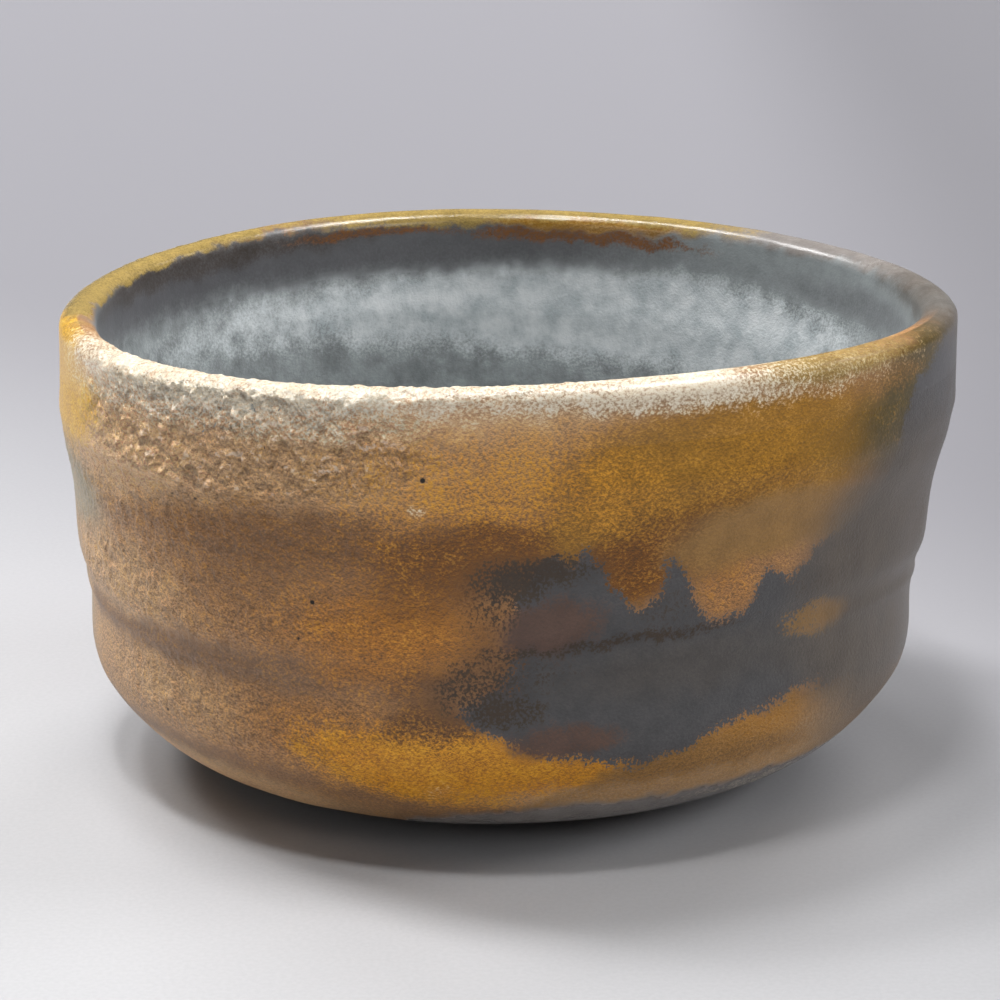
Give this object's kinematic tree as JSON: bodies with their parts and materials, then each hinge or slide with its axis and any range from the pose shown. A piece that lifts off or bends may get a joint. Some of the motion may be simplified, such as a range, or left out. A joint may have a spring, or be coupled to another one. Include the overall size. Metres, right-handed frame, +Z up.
{
  "type": "tea bowl",
  "caption": "Hand-thrown stoneware tea bowl with a low foot ring, throwing ridges round the wall, a wavering rounded lip and runny ash glaze outside over a grey-blue inside.",
  "frame": {"origin": "on the table, in the middle of the bowl's plan outline, level with the flat face of the foot ring", "axes": "+Z up out of the mouth, -Y towards the front of the bowl, the side with the dark plum and slate glaze patch, +X to the right seen from the front"},
  "size_m": [0.1254, 0.1264, 0.0677],
  "materials": {
    "stoneware": "matt, gritty, bare fired clay",
    "ash_glaze": "satin, mottled tan, amber and slate, with a fine orange-peel surface",
    "amber_glaze": "glossy, pooled honey and pale yellow, with crisp highlights",
    "grey_glaze": "soft gloss, clouded grey-blue with faint streaks"
  },
  "bodies": {
    "root": {"clay_body": "stoneware", "foot_ring": "stoneware", "outer_glaze": "ash_glaze", "lip_glaze": "amber_glaze", "inner_glaze": "grey_glaze"}
  },
  "joints": []
}
